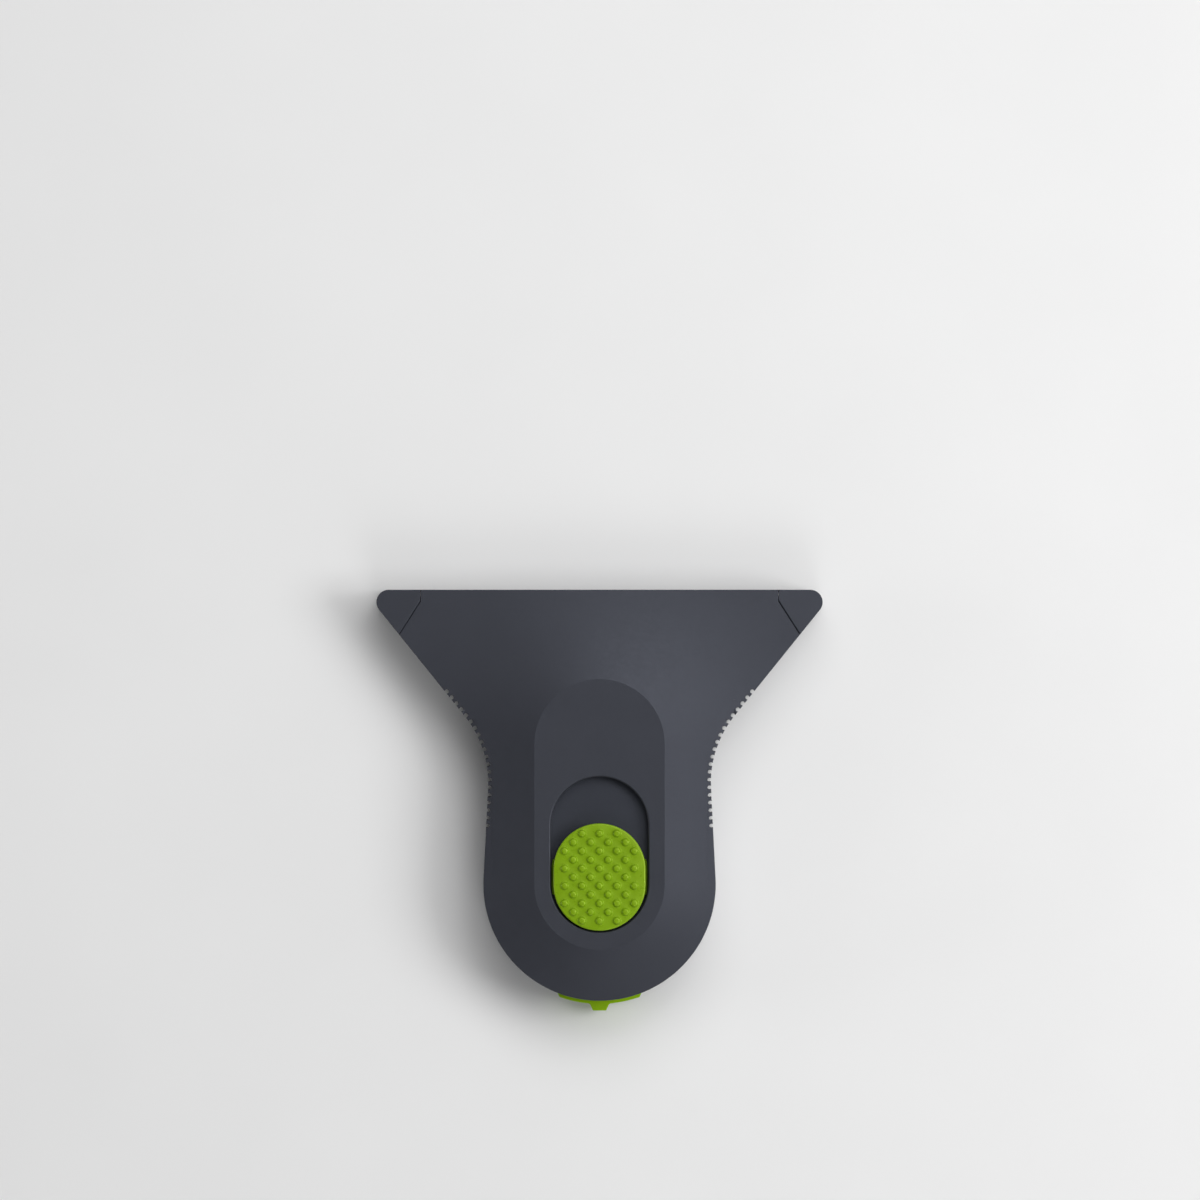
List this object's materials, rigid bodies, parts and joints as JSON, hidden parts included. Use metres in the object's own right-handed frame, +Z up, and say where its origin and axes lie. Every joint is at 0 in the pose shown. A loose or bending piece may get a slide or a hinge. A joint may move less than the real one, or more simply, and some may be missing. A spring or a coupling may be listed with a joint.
{
  "type": "razor blade scraper",
  "caption": "Flat palm scraper with a wide hidden blade that a ribbed thumb slide pushes out against springs, in a flared two-shell body that opens on hinge pins to change the blade.",
  "frame": {"origin": "middle of the box's underside, where the tool rests", "axes": "+Y towards the blade edge, +X along the edge to the right seen from above, +Z up through the thumb pad"},
  "size_m": [0.063, 0.0596, 0.0128],
  "materials": {
    "shell": "fine matt grain, dark slate grey",
    "shutter": "fine matt, dark grey",
    "button": "satin lime green",
    "grip": "soft matt lime green with bumps",
    "latch": "satin lime green",
    "sled": "smooth satin grey",
    "blade": "fine ground white",
    "steel": "ground",
    "spring_steel": "drawn and rolled"
  },
  "bodies": {
    "base": {"base_shell": "shell", "left_hinge_pin": "steel", "right_hinge_pin": "steel", "left_return_spring": "spring_steel", "right_return_spring": "spring_steel", "latch_spring": "spring_steel"},
    "cover": {"top_cover": "shell"},
    "slider": {"blade": "blade", "blade_clip": "spring_steel", "blade_carrier": "sled", "shutter_plate": "shutter", "slide_button": "button", "grip_pad": "grip"},
    "latch": {"rear_latch": "latch"}
  },
  "joints": [
    {"name": "blade_slide", "type": "slide", "parent": "base", "child": "slider", "axis": [0, 1, 0], "range_m": [0, 0.00621], "stiffness_N_per_m": 250, "springref_m": -0.006, "deforming": ["left_return_spring", "right_return_spring"]},
    {"name": "cover_hinge", "type": "hinge", "parent": "base", "child": "cover", "pos_m": [0, 0.02895, 0.00808], "axis": [-1, 0, 0], "range_deg": [0, 90]},
    {"name": "latch_press", "type": "slide", "parent": "base", "child": "latch", "axis": [0, 1, 0], "range_m": [0, 0.001], "stiffness_N_per_m": 300, "springref_m": -0.002, "deforming": ["latch_spring"]}
  ]
}
